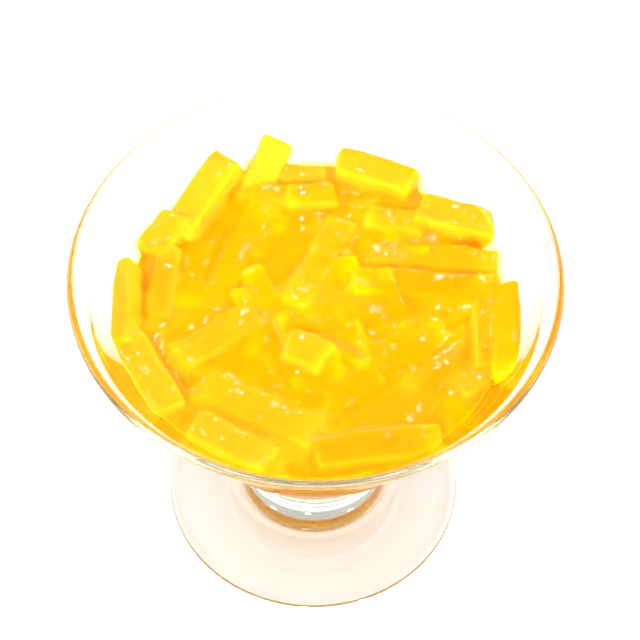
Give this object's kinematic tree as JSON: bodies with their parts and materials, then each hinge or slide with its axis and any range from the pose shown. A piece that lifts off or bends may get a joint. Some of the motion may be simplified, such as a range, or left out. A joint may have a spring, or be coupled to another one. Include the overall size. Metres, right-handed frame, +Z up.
{
  "type": "jelly strips in a footed glass",
  "caption": "Cut strips of yellow jelly heaped in clear syrup in a footed glass with a wide cone-shaped bowl and a short solid stem.",
  "frame": {"origin": "middle of the foot's underside, on the glass's axis", "axes": "+Z up along the glass's axis; +X to the right and +Y to the back as the dessert is served"},
  "size_m": [0.11, 0.11, 0.091],
  "materials": {
    "clear_glass": "clear polished glass with a faint green edge",
    "yellow_jelly": "wet, translucent, softly cut jelly",
    "clear_syrup": "clear glossy syrup"
  },
  "bodies": {
    "root": {"footed_glass": "clear_glass", "jelly_heap": "yellow_jelly", "syrup": "clear_syrup"}
  },
  "joints": []
}
